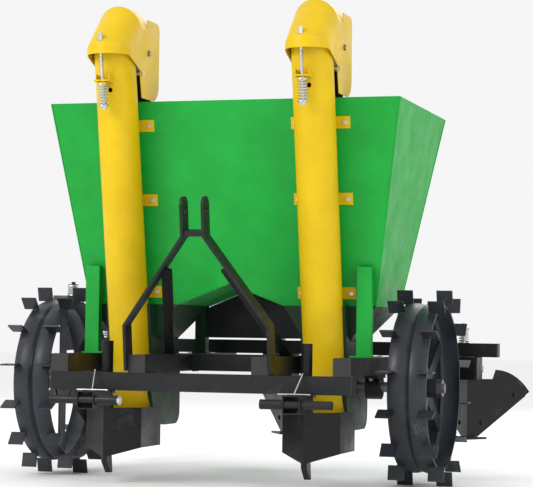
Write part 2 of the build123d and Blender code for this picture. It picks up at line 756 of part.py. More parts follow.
def bearings():
    width = 50
    x = outer_beam_x
    body = rod((x - width / 2, axle_y, axle_z), (x + width / 2, axle_y, axle_z), bearing_r)
    body += block(x - width / 2, x + width / 2, axle_y - 30, axle_y + 30, axle_z, beam_z)
    body += block(x - width / 2, x + width / 2, axle_y - 60, axle_y + 60, bearing_foot_z, beam_z)
    body -= rod((x - width, axle_y, axle_z), (x + width, axle_y, axle_z), axle_r + running_gap)
    add("bearings", *pair(body))


# Ridging bodies: bracket, tripping shank, share, mouldboard wings, trip rod and its spring
def wing_plane(x):
    sweep = math.radians(wing_sweep)
    return Plane(origin=(x, wing_nose_y, 0), x_dir=(math.sin(sweep), math.cos(sweep), 0),
                 z_dir=(math.cos(sweep), -math.sin(sweep), 0))


def ridgers():
    brackets = []
    pivots = []
    springs = []
    outer = bracket_half
    inner = bracket_half - bracket_plate
    for side, x in ridger_places.items():
        cheek = block(inner, outer, pivot_y - 82, pivot_y + 25, bracket_low, beam_top)
        cheek -= rod((0, pivot_y, pivot_z), (100, pivot_y, pivot_z), pivot_r)
        front = block(-inner, inner, pivot_y - 82, pivot_y - 74, bracket_low, beam_top)
        bracket = cheek + mirrored(cheek) + front
        brackets.append(Pos(x, 0, 0) * bracket)
        pivot = rod((-outer - 8, pivot_y, pivot_z), (outer + 8, pivot_y, pivot_z), pivot_r)
        for way in (-1, 1):
            pivot += hexagon((way * outer, pivot_y, pivot_z), (way * (outer + 8), pivot_y, pivot_z), 24)
        pivots.append(Pos(x, 0, 0) * pivot)
        low, high = beam_top + rear_bar_side, trip_spring_top
        spring = rod((x, trip_y, low), (x, trip_y, high), trip_spring_r)
        springs.append(spring - rod((x, trip_y, low), (x, trip_y, high), trip_spring_r - 5))
        shank = [(pivot_y - 50, pivot_z + 8), (pivot_y - 50, pivot_z - 4), (pivot_y - 24, pivot_z - 4),
                 (pivot_y - 14, pivot_z - 20),
                 (pivot_y + 20, pivot_z - 20), (wing_nose_y + 20, wing_high + 3), (wing_nose_y + 20, wing_low),
                 (wing_nose_y + 48, wing_low), (wing_nose_y + 48, pivot_z - 5), (pivot_y + 45, pivot_z + 20),
                 (pivot_y - 14, pivot_z + 20)]
        arm = prism_x(shank, -8, 8)
        arm += block(-20, 20, trip_y - 18, trip_y + 18, pivot_z - 2, pivot_z + 8)
        arm -= rod((0, trip_y, bracket_low), (0, trip_y, beam_top), trip_r + trip_hole_gap)
        arm -= rod((-20, pivot_y, pivot_z), (20, pivot_y, pivot_z), pivot_r + running_gap)
        arm += prism_z([(0, wing_nose_y - 68), (66, wing_nose_y + 40), (0, wing_nose_y + 30),
                        (-66, wing_nose_y + 40)], wing_low - 8, wing_low)
        add(f"ridger_shank_{side}", Pos(x, 0, 0) * arm)
        board = [(0, wing_low), (55, wing_low), (wing_length - 26, wing_tip_z - 16),
                 (wing_length - 40, wing_tip_z + 20), (125, wing_high), (0, wing_high)]
        plane = wing_plane(0)
        wing = extrude(plane * make_face(Polyline(*board, close=True)), amount=-wing_plate)
        wing &= block(0, 500, 500, 1500, 0, 500)
        edge = [Polyline((wing_length, wing_tip_z), (wing_length - 95, wing_tip_z - 56), (115, wing_high - 50),
                         (153, wing_crest_z)),
                ThreePointArc((153, wing_crest_z), (255, 360), (wing_length, wing_tip_z))]
        tail = extrude(plane.offset(-wing_plate) * make_face(edge), amount=-wing_plate)
        add(f"ridger_wings_{side}", *[Pos(x, 0, 0) * piece for piece in pair(wing) + pair(tail)])
        nut_low = pivot_z - 18
        trip = rod((x, trip_y, nut_low), (x, trip_y, trip_spring_top + 20), trip_r)
        trip += hexagon((x, trip_y, nut_low), (x, trip_y, nut_low + 10), 19)
        trip += rod((x, trip_y, trip_spring_top), (x, trip_y, trip_spring_top + 3), trip_spring_r + 1)
        trip += hexagon((x, trip_y, trip_spring_top + 3), (x, trip_y, trip_spring_top + 14), 19)
        add(f"trip_rod_{side}", trip)
    add("ridger_brackets", *brackets)
    add("ridger_pivots", *pivots)
    add("trip_springs", *springs)


def marker_post():
    x = -rear_bar_half - 3
    post = square_tube(x - 40, x, rear_bar_y + 5, rear_bar_y + 45, beam_top, 605, 3, "Z")
    post += block(x - 56, x + 16, rear_bar_y, rear_bar_y + rear_bar_side, 605, 645)
    post += rod((x - 20, rear_bar_y + 25, 645), (x - 20, rear_bar_y + 25, 700), 8)
    post += rod((x - 20, rear_bar_y + 25, 688), (x - 20, rear_bar_y + 25, 691), 20)
    add("marker_post", post)
    spring = rod((x - 20, rear_bar_y + 25, 645), (x - 20, rear_bar_y + 25, 688), 24)
    add("marker_spring", spring - rod((x - 20, rear_bar_y + 25, 645), (x - 20, rear_bar_y + 25, 688), 18))


def build():
    frame()
    hitch()
    mast()
    springs, holders = [], []
    for side in row_places:
        drop_tube(side)
        boot(side)
        cup_belt(side)
        spring, holder, washer = hood(side)
        springs.append(spring)
        holders += holder + [washer]
        opener(side)
    add("tension_springs", *springs)
    add("tension_brackets", *holders)
    rollers()
    hopper()
    feed_boxes()
    posts()
    straps()
    fasteners()
    sleeves()
    running_gear()
    bearings()
    ridgers()
    marker_post()


build()
boxes = [solid.bounding_box() for solids in nodes.values() for solid in solids]
front_y = min(box.min.Y for box in boxes)
rear_y = max(box.max.Y for box in boxes)
ground_z = min(box.min.Z for box in boxes)
origin = (0, -(front_y + rear_y) / 2, -ground_z)
print("moved by", origin, "X", min(box.min.X for box in boxes), max(box.max.X for box in boxes))
os.makedirs("parts", exist_ok=True)
for name, solids in nodes.items():
    shape = solids[0] if len(solids) == 1 else Compound(children=solids)
    export_step(Pos(*origin) * shape, f"parts/{name}.step")
print(len(nodes), "nodes")
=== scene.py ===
# %% [markdown]
# # A two-row potato planter
# The machine hangs on a tractor's three-point linkage. Its frame, wheels, hopper and tubes come
# ready as solids. This lesson gives every one of them a real finish, makes the small pieces that
# solids leave plain (coil springs, weld beads, threads), and lights the result in a plain studio.

# %% Load the frame
import math

import bpy
from mathutils import Matrix, Vector


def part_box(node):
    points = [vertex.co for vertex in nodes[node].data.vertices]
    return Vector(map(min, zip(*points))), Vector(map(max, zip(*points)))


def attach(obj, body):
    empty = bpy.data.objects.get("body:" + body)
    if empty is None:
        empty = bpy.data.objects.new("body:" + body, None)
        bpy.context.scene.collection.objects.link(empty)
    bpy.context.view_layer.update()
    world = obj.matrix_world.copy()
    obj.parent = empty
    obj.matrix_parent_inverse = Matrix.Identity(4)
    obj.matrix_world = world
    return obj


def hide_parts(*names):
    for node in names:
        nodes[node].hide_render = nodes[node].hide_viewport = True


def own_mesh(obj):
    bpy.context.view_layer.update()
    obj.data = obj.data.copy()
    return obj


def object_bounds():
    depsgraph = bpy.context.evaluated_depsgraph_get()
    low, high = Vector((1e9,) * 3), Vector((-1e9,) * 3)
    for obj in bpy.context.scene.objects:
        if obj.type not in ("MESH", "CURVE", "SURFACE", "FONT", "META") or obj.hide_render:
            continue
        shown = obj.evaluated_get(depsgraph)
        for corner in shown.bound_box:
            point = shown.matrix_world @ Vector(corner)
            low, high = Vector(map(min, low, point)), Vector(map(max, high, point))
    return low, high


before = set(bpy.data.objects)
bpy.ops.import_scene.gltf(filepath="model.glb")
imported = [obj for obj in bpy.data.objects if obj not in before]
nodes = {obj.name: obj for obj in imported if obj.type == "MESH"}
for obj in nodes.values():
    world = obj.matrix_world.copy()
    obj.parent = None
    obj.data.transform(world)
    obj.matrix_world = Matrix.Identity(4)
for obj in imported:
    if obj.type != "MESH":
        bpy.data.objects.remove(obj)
solid_box = [list(corner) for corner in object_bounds()]
print("solids", len(nodes), "box", solid_box)

# %% [markdown]
# The drawing of the machine is in millimetres from the front face of the front toolbar, at X = 0
# in the middle. The toolbar's own box tells where that place is now, so one small function turns
# a drawing place into metres in the scene, and no piece needs fitting by eye.

# %% Drawing places in metres
toolbar_low, toolbar_high = [Vector(corner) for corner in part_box("front_toolbar")]
toolbar_floor = 315    # the toolbar's underside
beam_floor = 375       # underside of the beams, and top of the toolbar
beam_top = 435
tube_half = 30         # half the side of the frame's square tube
inner_beam, outer_beam = 215, 491
row_x = 350            # each row's centre from the middle
ridger_x = 700
hopper_low, hopper_high = 608, 1305
hopper_front_low, hopper_front_high = 332, 199
hopper_rear_low, hopper_rear_high = 688, 931
hopper_half_low, hopper_half_high = 520, 626


def at(x, y, z):
    return Vector((x / 1000, toolbar_low.y + y / 1000, toolbar_low.z + (z - toolbar_floor) / 1000))


def hopper_front(z):
    share = (z - hopper_low) / (hopper_high - hopper_low)
    return hopper_front_low + share * (hopper_front_high - hopper_front_low)


print("the toolbar's front face is at", round(toolbar_low.y, 4))

# %% [markdown]
# ## Camera
# The camera stands low and far away, to the right of the hitch, so the machine is seen almost
# square from the front with little perspective. It is made first, since everything after it is
# judged through it.

# %% Camera
yaw, pitch, roll = 0.2977, 0.045, 0.0138
ahead = Vector((-math.sin(yaw) * math.cos(pitch), math.cos(yaw) * math.cos(pitch), math.sin(pitch)))
right = Vector((math.cos(yaw), math.sin(yaw), 0))
above = right.cross(ahead)
right, above = (right * math.cos(roll) + above * math.sin(roll),
                above * math.cos(roll) - right * math.sin(roll))
camera_data = bpy.data.cameras.new("camera")
camera_data.sensor_width = 36
camera_data.lens = 129.7
camera = bpy.data.objects.new("camera", camera_data)
bpy.context.scene.collection.objects.link(camera)
turn = Matrix((right, above, -ahead)).transposed()
camera.matrix_world = Matrix.Translation(at(2069.3, -5992.2, 523.1)) @ turn.to_4x4()
camera_data.clip_end = 100
bpy.context.scene.camera = camera
print("camera", camera.location[:])

# %% [markdown]
# ## Light and floor
# A maker photographs such a machine on a white sweep under large soft lights. A bright world, one
# big lamp high on the left and a weaker one on the right give broad, soft reflections on the
# paint and hardly any shadow on the floor.


# %% Lights
def soft_light(name, place, target, size, watts):
    data = bpy.data.lights.new(name, "AREA")
    data.shape = "DISK"
    data.size = size
    data.energy = watts
    lamp = bpy.data.objects.new(name, data)
    bpy.context.scene.collection.objects.link(lamp)
    lamp.location = place
    lamp.rotation_mode = "QUATERNION"
    lamp.rotation_quaternion = (Vector(target) - Vector(place)).to_track_quat("-Z", "Y")
    return lamp


soft_light("key", (-3.2, -4.6, 3.6), (0, 0, 0.8), 2.4, 150)
soft_light("fill", (4.5, -3.6, 2.4), (0, 0, 0.7), 2.4, 60)
soft_light("back", (0.5, 4.5, 3.8), (0, 0, 0.8), 3.5, 90)
world = bpy.data.worlds.new("studio")
bpy.context.scene.world = world
world.use_nodes = True
world.node_tree.nodes["Background"].inputs["Color"].default_value = (1, 1, 1, 1)
world.node_tree.nodes["Background"].inputs["Strength"].default_value = 0.92
bpy.context.scene.view_settings.view_transform = "Standard"

# %% [markdown]
# ## Finishes
# Every finish is built from nodes. Three small functions do all the work: one turns a hex colour
# into the linear values that Blender wants, one adds a node with its settings and links, and one
# gives a fresh material with its shader.


# %% Colour and node helpers
def linear(hex_code):
    values = [int(hex_code[i:i + 2], 16) / 255 for i in (1, 3, 5)]
    return tuple(v / 12.92 if v <= 0.04045 else ((v + 0.055) / 1.055) ** 2.4 for v in values) + (1,)


def add_node(tree, kind, links=(), values=(), **settings):
    node = tree.nodes.new(kind)
    for key, value in settings.items():
        setattr(node, key, value)
    for key, value in dict(values).items():
        node.inputs[key].default_value = value
    for key, socket in dict(links).items():
        tree.links.new(socket, node.inputs[key])
    return node


def start_material(name, **values):
    material = bpy.data.materials.new(name)
    material.use_nodes = True
    shader = material.node_tree.nodes["Principled BSDF"]
    for key, value in values.items():
        shader.inputs[key.replace("_", " ")].default_value = value
    return material, material.node_tree, shader


print("linear mid grey", [round(v, 3) for v in linear("#808080")])

# %% [markdown]
# ### Enamel and powder coat
# Painted steel is never one flat colour. The coat is a little thicker here and thinner there, so
# its tone drifts over a hand's width. It dries with orange peel, dimples about 2 mm across. Dust
# settles as a fine bloom, and handling leaves small scuffs that are rougher and paler. The same
# build serves every colour, since one paint shop coats them all.


# %% Painted steel
def painted_steel(name, main, deep, scuff, roughness, peel=0.12, scuffed=0.64, coat=0.25, gloss=0.5):
    material, tree, shader = start_material(name, Coat_Weight=coat, Coat_Roughness=0.18, IOR=1.5,
                                            Specular_IOR_Level=gloss)
    place = add_node(tree, "ShaderNodeTexCoord").outputs["Object"]
    # tone drifts over about 150 mm
    drift = add_node(tree, "ShaderNodeTexNoise", {"Vector": place},
                     {"Scale": 1 / 0.15, "Detail": 3.0, "Roughness": 0.6})
    tone = add_node(tree, "ShaderNodeMapRange", {"Value": drift.outputs["Fac"]},
                    {"From Min": 0.36, "From Max": 0.64})
    colour = add_node(tree, "ShaderNodeMix", {"Factor": tone.outputs["Result"]},
                      data_type="RGBA")
    colour.inputs[6].default_value = linear(deep)
    colour.inputs[7].default_value = linear(main)
    # scuffs some 12 mm long, only where a second, broader pattern allows them
    marks = add_node(tree, "ShaderNodeTexNoise", {"Vector": place},
                     {"Scale": 1 / 0.012, "Detail": 6.0, "Roughness": 0.7, "Distortion": 1.2})
    area = add_node(tree, "ShaderNodeTexNoise", {"Vector": place},
                    {"Scale": 1 / 0.09, "Detail": 2.0})
    both = add_node(tree, "ShaderNodeMath", {0: marks.outputs["Fac"], 1: area.outputs["Fac"]},
                    operation="ADD")
    worn = add_node(tree, "ShaderNodeMapRange", {"Value": both.outputs["Value"]},
                    {"From Min": scuffed * 2 - 0.09, "From Max": scuffed * 2 + 0.06, "To Max": 0.75})
    final = add_node(tree, "ShaderNodeMix", {"Factor": worn.outputs["Result"]}, data_type="RGBA")
    final.inputs[7].default_value = linear(scuff)
    tree.links.new(colour.outputs[2], final.inputs[6])
    tree.links.new(final.outputs[2], shader.inputs["Base Color"])
    # the bloom of dust and the scuffs take the gloss off
    dull = add_node(tree, "ShaderNodeMapRange", {"Value": both.outputs["Value"]},
                    {"From Min": 0.8, "From Max": 1.35, "To Min": roughness - 0.06,
                     "To Max": roughness + 0.22})
    tree.links.new(dull.outputs["Result"], shader.inputs["Roughness"])
    # orange peel, drawn 3 mm wide so that it shows
    dimples = add_node(tree, "ShaderNodeTexNoise", {"Vector": place},
                       {"Scale": 1 / 0.003, "Detail": 1.0})
    bump = add_node(tree, "ShaderNodeBump", {"Height": dimples.outputs["Fac"]},
                    {"Strength": peel, "Distance": 0.0006})
    tree.links.new(bump.outputs["Normal"], shader.inputs["Normal"])
    return material


chassis_enamel = painted_steel("satin black chassis enamel", "#17191b", "#111315", "#3f4144", 0.40,
                               coat=0.05, gloss=0.3)
wheel_enamel = painted_steel("blue-black wheel enamel", "#272b33", "#1c1f25", "#4c5057", 0.42,
                             0.16, 0.62, 0.08, 0.35)
tillage_enamel = painted_steel("black tillage enamel", "#0d0e0f", "#090a0a", "#38393b", 0.36,
                               0.12, 0.62, 0.05, 0.25)
green_coat = painted_steel("green powder coat", "#0fa238", "#0a9732", "#34b056", 0.42,
                           0.10, 0.72, 0.06, 0.25)
# the hopper's green powder coat again, darkened for the parts under the hopper: painted shade, not a
# paint of their own
shaded_green_coat = painted_steel("dark green enamel", "#14391f", "#0e2b17", "#2c5539", 0.40, coat=0.05,
                                gloss=0.3)
yellow_coat = painted_steel("yellow powder coat", "#dcb800", "#d2ae00", "#e6cc38", 0.42,
                            0.10, 0.72, 0.06, 0.25)
print("painted finishes", [m.name for m in bpy.data.materials if "coat" in m.name or "enamel" in m.name])

# %% [markdown]
# ### Bright zinc
# Bolts, nuts, springs and rods are zinc plated and passivated. Zinc is a pale bluish metal whose
# passivation gives faint warm and cool clouds, and barrel plating leaves a fine, slightly rough
# grain. So it is fully metallic, with two close colours and a roughness that wanders.


# %% Zinc plate
def zinc_plate(name, cool, warm, roughness, grain):
    material, tree, shader = start_material(name, Metallic=1.0)
    place = add_node(tree, "ShaderNodeTexCoord").outputs["Object"]
    cloud = add_node(tree, "ShaderNodeTexNoise", {"Vector": place}, {"Scale": 1 / 0.01, "Detail": 3.0})
    tint = add_node(tree, "ShaderNodeMapRange", {"Value": cloud.outputs["Fac"]},
                    {"From Min": 0.38, "From Max": 0.62})
    colour = add_node(tree, "ShaderNodeMix", {"Factor": tint.outputs["Result"]}, data_type="RGBA")
    colour.inputs[6].default_value = linear(cool)
    colour.inputs[7].default_value = linear(warm)
    tree.links.new(colour.outputs[2], shader.inputs["Base Color"])
    grit = add_node(tree, "ShaderNodeTexNoise", {"Vector": place}, {"Scale": 1 / grain, "Detail": 4.0})
    rough = add_node(tree, "ShaderNodeMapRange", {"Value": grit.outputs["Fac"]},
                     {"To Min": roughness - 0.1, "To Max": roughness + 0.12})
    tree.links.new(rough.outputs["Result"], shader.inputs["Roughness"])
    bump = add_node(tree, "ShaderNodeBump", {"Height": grit.outputs["Fac"]},
                    {"Strength": 0.15, "Distance": 0.0002})
    tree.links.new(bump.outputs["Normal"], shader.inputs["Normal"])
    return material


bright_zinc = zinc_plate("bright zinc plate", "#c6ccd2", "#d8d4c4", 0.30, 0.0012)
print("metal", bright_zinc.name)

# %% [markdown]
# ### Turned steel
# Axles and rollers are turned on a lathe and only oiled. The tool leaves fine rings round the
# shaft. All shafts here lie along X, so bands across X are those rings.

# %% Turned steel
turned_steel, tree, shader = start_material("oiled turned steel", Metallic=1.0)
place = add_node(tree, "ShaderNodeTexCoord").outputs["Object"]
rings = add_node(tree, "ShaderNodeTexWave", {"Vector": place},
                 {"Scale": 1 / (0.002 * 3.14), "Distortion": 0.4, "Detail": 2.0}, bands_direction="X")
stain = add_node(tree, "ShaderNodeTexNoise", {"Vector": place}, {"Scale": 1 / 0.04, "Detail": 5.0})
colour = add_node(tree, "ShaderNodeMix", {"Factor": stain.outputs["Fac"]}, data_type="RGBA")
colour.inputs[6].default_value = linear("#8d9095")
colour.inputs[7].default_value = linear("#6f6a62")
tree.links.new(colour.outputs[2], shader.inputs["Base Color"])
rough = add_node(tree, "ShaderNodeMapRange", {"Value": rings.outputs["Fac"]},
                 {"To Min": 0.28, "To Max": 0.5})
tree.links.new(rough.outputs["Result"], shader.inputs["Roughness"])
bump = add_node(tree, "ShaderNodeBump", {"Height": rings.outputs["Fac"]},
                {"Strength": 0.2, "Distance": 0.0002})
tree.links.new(bump.outputs["Normal"], shader.inputs["Normal"])
print("metal", turned_steel.name)

# %% [markdown]
# ### Belt rubber and plastic plugs
# The cup belt is black rubber over canvas, and the weave prints through as a grid of about 2 mm.
# The plugs in the tube ends are moulded polyethylene with a fine spark-eroded grain.

# %% Rubber and plastic
belt_rubber, tree, shader = start_material("canvas-backed belt rubber", Roughness=0.7, IOR=1.52)
place = add_node(tree, "ShaderNodeTexCoord").outputs["Object"]
weft = add_node(tree, "ShaderNodeTexWave", {"Vector": place}, {"Scale": 1 / (0.003 * 3.14)},
                bands_direction="X")
warp = add_node(tree, "ShaderNodeTexWave", {"Vector": place}, {"Scale": 1 / (0.003 * 3.14)},
                bands_direction="Z")
weave = add_node(tree, "ShaderNodeMath", {0: weft.outputs["Fac"], 1: warp.outputs["Fac"]},
                 operation="MULTIPLY")
dust = add_node(tree, "ShaderNodeTexNoise", {"Vector": place}, {"Scale": 1 / 0.05, "Detail": 6.0})
colour = add_node(tree, "ShaderNodeMix", {"Factor": dust.outputs["Fac"]}, data_type="RGBA")
colour.inputs[6].default_value = linear("#1a1a1b")
colour.inputs[7].default_value = linear("#2f2d2a")
tree.links.new(colour.outputs[2], shader.inputs["Base Color"])
bump = add_node(tree, "ShaderNodeBump", {"Height": weave.outputs["Value"]},
                {"Strength": 0.4, "Distance": 0.0005})
tree.links.new(bump.outputs["Normal"], shader.inputs["Normal"])

plug_plastic, tree, shader = start_material("moulded black polyethylene", IOR=1.51)
place = add_node(tree, "ShaderNodeTexCoord").outputs["Object"]
grain = add_node(tree, "ShaderNodeTexNoise", {"Vector": place}, {"Scale": 1 / 0.001, "Detail": 3.0})
colour = add_node(tree, "ShaderNodeMix", {"Factor": grain.outputs["Fac"]}, data_type="RGBA")
colour.inputs[6].default_value = linear("#161617")
colour.inputs[7].default_value = linear("#242426")
tree.links.new(colour.outputs[2], shader.inputs["Base Color"])
rough = add_node(tree, "ShaderNodeMapRange", {"Value": grain.outputs["Fac"]},
                 {"To Min": 0.42, "To Max": 0.62})
tree.links.new(rough.outputs["Result"], shader.inputs["Roughness"])
bump = add_node(tree, "ShaderNodeBump", {"Height": grain.outputs["Fac"]},
                {"Strength": 0.2, "Distance": 0.0002})
tree.links.new(bump.outputs["Normal"], shader.inputs["Normal"])
print("soft finishes", belt_rubber.name, plug_plastic.name)

# %% [markdown]
# ### Painting the solids
# Each solid takes the finish of its trade: bright colours for sheet metal that the farmer sees,
# black for the frame and the tillage tools, zinc for hardware. The first words of a solid's name
# are enough to choose.

# %% Give every solid its finish
finish_for = {
    "hopper": green_coat,
    "drop_tube": yellow_coat, "hood": yellow_coat, "tube_straps": yellow_coat,
    "tension_brackets": yellow_coat,
    # boots, feed boxes and rear posts take the darkened green, which is painted shade
    "boot": shaded_green_coat, "feed_boxes": shaded_green_coat, "rear_posts": shaded_green_coat,
    "fasteners": bright_zinc, "tension_": bright_zinc, "trip_": bright_zinc,
    "marker_spring": bright_zinc, "ridger_pivots": bright_zinc, "lynch_pins": bright_zinc,
    "cup_belt": belt_rubber,
    "axle": turned_steel, "top_roller": turned_steel, "drive_rollers": turned_steel,
    "hitch_pins": chassis_enamel,
    "wheel": wheel_enamel,
    "end_caps": plug_plastic,
    "opener": tillage_enamel, "ridger": tillage_enamel,
}
for name, solid in nodes.items():
    starts = sorted((key for key in finish_for if name.startswith(key)), key=len)
    material = finish_for[starts[-1]] if starts else chassis_enamel
    solid.data.materials.clear()
    solid.data.materials.append(material)
print("painted", len(nodes), "solids")

# %% [markdown]
# ## Making pieces
# A finished piece sits at the origin with its place in its mesh, rides on the body it is fixed
# to, and takes its finish as one given material. These helpers end every piece the same
# way. Everything is deselected first, because the loaded solids are still selected.


# %% Helpers that start and finish a piece
def nothing_selected():
    for item in bpy.context.selected_objects:
        item.select_set(False)


def select_only(*items):
    nothing_selected()
    for item in items:
        item.select_set(True)
    bpy.context.view_layer.objects.active = items[0]


def finish_piece(items, name, material, body, smooth=35):
    select_only(*items)
    if len(items) > 1:
        bpy.ops.object.join()
    piece = bpy.context.view_layer.objects.active
    bpy.ops.object.transform_apply(location=True, rotation=True, scale=True)
    bpy.ops.object.shade_smooth_by_angle(angle=math.radians(smooth))
    piece.name = name
    piece.data.name = name
    piece.data.materials.clear()
    piece.data.materials.append(material)
    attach(piece, body)
    return piece


def clean_normals():
    bpy.ops.object.mode_set(mode="EDIT")
    bpy.ops.mesh.select_all(action="SELECT")
    bpy.ops.mesh.remove_doubles(threshold=0.00001)
    bpy.ops.mesh.normals_make_consistent(inside=False)
    bpy.ops.object.mode_set(mode="OBJECT")


nothing_selected()
print("ready")

# %% [markdown]
# ## Coil springs
# Six compression springs hold this machine's tension and trip gear. A coil spring is a round wire
# wound on a helix, with its end turns closed flat so that it sits square on a washer. A circle
# swept by the Screw modifier is exactly that wire. Two flat rings make the closed ends.


# %% A coil spring
def coil_spring(low, high, coil_r, wire_r, turns):
    run = high - low
    length = run.length - 4 * wire_r
    bpy.ops.mesh.primitive_circle_add(vertices=10, radius=wire_r, fill_type="NOTHING",
                                      location=(coil_r - wire_r, 0, 2 * wire_r),
                                      rotation=(math.pi / 2, 0, 0))
    wire = bpy.context.object
    bpy.ops.object.transform_apply(location=True, rotation=True, scale=True)
    screw = wire.modifiers.new("wind", "SCREW")
    screw.axis = "Z"
    screw.angle = 2 * math.pi
    screw.screw_offset = length / turns
    screw.iterations = turns
    screw.steps = screw.render_steps = 24
    bpy.ops.object.modifier_apply(modifier="wind")
    bpy.ops.object.mode_set(mode="EDIT")
    bpy.ops.mesh.select_all(action="SELECT")
    bpy.ops.mesh.fill_holes(sides=0)
    bpy.ops.object.mode_set(mode="OBJECT")
    rings = [wire]
    for height in (wire_r, run.length - wire_r):
        bpy.ops.mesh.primitive_torus_add(major_radius=coil_r - wire_r, minor_radius=wire_r,
                                         major_segments=24, minor_segments=10,
                                         location=(0, 0, height))
        rings.append(bpy.context.object)
    select_only(*rings)
    bpy.ops.object.join()
    bpy.ops.object.transform_apply(location=True, rotation=True, scale=True)
    clean_normals()
    spring = bpy.context.view_layer.objects.active
    spring.rotation_mode = "QUATERNION"
    spring.rotation_quaternion = Vector((0, 0, 1)).rotation_difference(run)
    spring.location = low
    return spring


lean = math.radians(10.95)    # the drop tubes' lean
tube_y, tube_z = 261, 600     # one place on a drop tube's axis
tube_r = 70
rod_gap = 36                  # the tension rod stands this far in front of the tube
rod_side = 8                  # and this far to the left of its middle
tension_low, tension_high = 1273, 1348


def rod_line(x, z):
    tube_front = tube_y - (z - tube_z) * math.tan(lean) - tube_r / math.cos(lean)
    return at(x - rod_side, tube_front - rod_gap, z)


rows = {"left": -row_x, "right": row_x}
for side, x in rows.items():
    spring = coil_spring(rod_line(x, tension_low), rod_line(x, tension_high), 0.017, 0.0025, 7)
    spring = finish_piece([spring], f"tension_coil_{side}", bright_zinc, "frame")
    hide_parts("tension_springs")
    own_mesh(spring)
    print(spring.name, len(spring.data.polygons), "faces")

# %% Trip springs and the marker's spring
bodies_at = {"left": -ridger_x, "center": 0, "right": ridger_x}
trip_y = 950
trip_low, trip_high = 485, 538
for side, x in bodies_at.items():
    foot = at(x, trip_y, trip_low)
    spring = coil_spring(foot, at(x, trip_y, trip_high), 0.020, 0.0025, 5)
    spring = finish_piece([spring], f"trip_coil_{side}", bright_zinc, "frame")
    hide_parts("trip_springs")
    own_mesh(spring)
    print(spring.name, len(spring.data.polygons), "faces")
marker = coil_spring(at(-848, 955, 645), at(-848, 955, 688), 0.024, 0.003, 4)
marker = finish_piece([marker], "marker_coil", bright_zinc, "frame")
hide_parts("marker_spring")

# %% [markdown]
# ## Threads
# The tension rods and trip rods end in screw threads. A ridge wound with the Screw modifier round
# the rod reads as a thread. It is cut coarser than the real pitch, because a real one of 1.25 or
# 1.75 mm would vanish at this distance.


# %% A thread
def thread(low, high, rod_r, pitch):
    run = high - low
    bpy.ops.mesh.primitive_circle_add(vertices=3, radius=pitch * 0.45, fill_type="NOTHING",
                                      location=(rod_r, 0, 0), rotation=(math.pi / 2, 0, 0))
    ridge = bpy.context.object
    bpy.ops.object.transform_apply(location=True, rotation=True, scale=True)
    turns = max(1, round((run.length - pitch) / pitch))
    screw = ridge.modifiers.new("wind", "SCREW")
    screw.axis = "Z"
    screw.angle = 2 * math.pi
    screw.screw_offset = pitch
    screw.iterations = turns
    screw.steps = screw.render_steps = 14
    bpy.ops.object.modifier_apply(modifier="wind")
    bpy.ops.object.mode_set(mode="EDIT")
    bpy.ops.mesh.select_all(action="SELECT")
    bpy.ops.mesh.fill_holes(sides=0)
    bpy.ops.object.mode_set(mode="OBJECT")
    clean_normals()
    ridge.rotation_mode = "QUATERNION"
    ridge.rotation_quaternion = Vector((0, 0, 1)).rotation_difference(run)
    ridge.location = low
    return ridge


for side, x in rows.items():
    ridge = thread(rod_line(x, 1361), rod_line(x, 1440), 0.005, 0.0026)
    finish_piece([ridge], f"tension_thread_{side}", bright_zinc, f"head_{side}")
for side, x in bodies_at.items():
    ridge = thread(at(x, trip_y, 552), at(x, trip_y, 558), 0.006, 0.0024)
    finish_piece([ridge], f"trip_thread_{side}", bright_zinc, f"trip_rod_{side}")
print("threads on", len(rows) + len(bodies_at), "rods")

# %% [markdown]
# ## Weld beads
# The frame is arc welded. A bead is a row of small overlapping ripples, where the puddle froze
# again and again. One small ball, repeated by the Array modifier along the joint, gives that
# row. Beads are painted over with the frame, so they take its enamel.


# %% One bead
def bead(start, end, radius=0.003):
    run = end - start
    count = max(2, round(run.length / (radius * 1.25)))
    bpy.ops.mesh.primitive_uv_sphere_add(segments=8, ring_count=5, radius=radius, location=start)
    ball = bpy.context.object
    row = ball.modifiers.new("ripples", "ARRAY")
    row.use_relative_offset = False
    row.use_constant_offset = True
    row.constant_offset_displace = run / (count - 1)
    row.count = count
    bpy.ops.object.modifier_apply(modifier="ripples")
    return ball


def beads(name, material, body, lines, radius=0.003):
    made = [bead(Vector(a), Vector(b), radius) for a, b in lines]
    piece = finish_piece(made, name, material, body, 60)
    print(name, len(lines), "runs,", len(piece.data.polygons), "faces")
    return piece


# %% Where the frame is welded
runs = []
for way in (-1, 1):
    for middle in (inner_beam, outer_beam):
        near, far = way * (middle - tube_half), way * (middle + tube_half)
        runs += [(at(near, 60, beam_floor), at(far, 60, beam_floor)),
                 (at(near, 3, beam_floor), at(near, 57, beam_floor)),
                 (at(far, 3, beam_floor), at(far, 57, beam_floor))]
    near, far = way * 323, way * 383
    runs += [(at(near, 0, toolbar_floor), at(far, 0, toolbar_floor)),
             (at(near, 2, toolbar_floor), at(near, 45, toolbar_floor)),
             (at(far, 2, toolbar_floor), at(far, 45, toolbar_floor)),
             (at(near, 45, toolbar_floor), at(far, 45, toolbar_floor))]
    for x, front, rear in ((185, 482, 542), (245, 600, 660), (461, 600, 660)):
        x *= way
        runs += [(at(x, front, beam_floor), at(x, front, beam_top)),
                 (at(x, rear, beam_floor), at(x, rear, beam_top)),
                 (at(x, front, beam_top), at(x, rear, beam_top)),
                 (at(x, front, beam_floor), at(x, rear, beam_floor))]
    for y in (930, 980):
        runs.append((at(way * 185, y, beam_top), at(way * 245, y, beam_top)))
    for edge in (-13, 13):
        x = -row_x * way + edge
        runs.append((at(x, 63, 318), at(x, 63, 372)))
beads("frame_welds", chassis_enamel, "frame", runs)

# %% [markdown]
# The mast is two flat straps that lean forward and close in to the top-link ears. It is welded to
# the outer sides of the inner beams and stiffened by two braces and a short crossbar.


